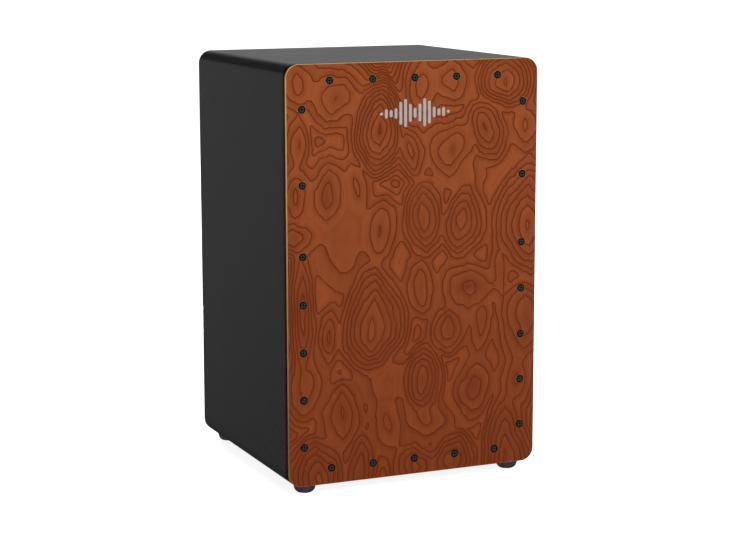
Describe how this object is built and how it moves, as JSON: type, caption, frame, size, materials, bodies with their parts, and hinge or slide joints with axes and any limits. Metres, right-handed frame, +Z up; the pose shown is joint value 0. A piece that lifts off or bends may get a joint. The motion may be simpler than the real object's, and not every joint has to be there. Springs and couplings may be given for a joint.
{
  "type": "cajon",
  "caption": "Box drum with a burl-figured playing face screwed to a black wooden shell, rubber feet, a rear sound hole and an inner snare bar that turns.",
  "frame": {"origin": "floor level, under the middle of the box", "axes": "+Z up, -Y out of the playing face, +X to the right seen from the front"},
  "size_m": [0.3, 0.285, 0.47],
  "materials": {
    "black_laminate": "satin black laminate over fibreboard",
    "burl_veneer": "satin red-brown burl veneer over thin plywood",
    "back_board": "painted black plywood",
    "batten_wood": "plain softwood",
    "bar_wood": "plain beech",
    "black_screws": "black-coated steel",
    "foot_rubber": "moulded rubber",
    "zinc_steel": "zinc-plated steel",
    "snare_wire": "bright coiled steel wire",
    "brass_plate": "thin rolled brass",
    "nylon": "natural nylon"
  },
  "bodies": {
    "box": {"back_panel": "back_board", "back_screws": "black_screws", "bottom_panel": "black_laminate", "corner_block_bottom_left": "batten_wood", "corner_block_bottom_right": "batten_wood", "corner_block_top_left": "batten_wood", "corner_block_top_right": "batten_wood", "foot_front_left": "foot_rubber", "foot_front_right": "foot_rubber", "foot_rear_left": "foot_rubber", "foot_rear_right": "foot_rubber", "foot_screws": "zinc_steel", "foot_washers": "zinc_steel", "front_batten_bottom": "batten_wood", "front_batten_left": "batten_wood", "front_batten_right": "batten_wood", "front_batten_top": "batten_wood", "left_side_panel": "black_laminate", "rear_batten_bottom": "batten_wood", "rear_batten_left": "batten_wood", "rear_batten_right": "batten_wood", "rear_batten_top": "batten_wood", "right_side_panel": "black_laminate", "seat_panel": "black_laminate", "snare_bracket_left": "zinc_steel", "snare_bracket_right": "zinc_steel", "snare_bracket_screws": "zinc_steel", "tapa": "burl_veneer", "tapa_screws_bottom": "black_screws", "tapa_screws_left": "black_screws", "tapa_screws_right": "black_screws", "tapa_screws_top": "black_screws"},
    "snare_bar": {"snare_bar": "bar_wood", "snare_friction_washers": "nylon", "snare_pivot_screw_left": "zinc_steel", "snare_pivot_screw_right": "zinc_steel", "snare_plate_left": "brass_plate", "snare_plate_right": "brass_plate", "snare_plate_screws": "zinc_steel", "snare_wires_left": "snare_wire", "snare_wires_right": "snare_wire"}
  },
  "joints": [
    {"name": "snare_bar_turn", "type": "hinge", "parent": "box", "child": "snare_bar", "pos_m": [0, -0.104, 0.36], "axis": [-1, 0, 0], "range_deg": [0, 30]}
  ]
}
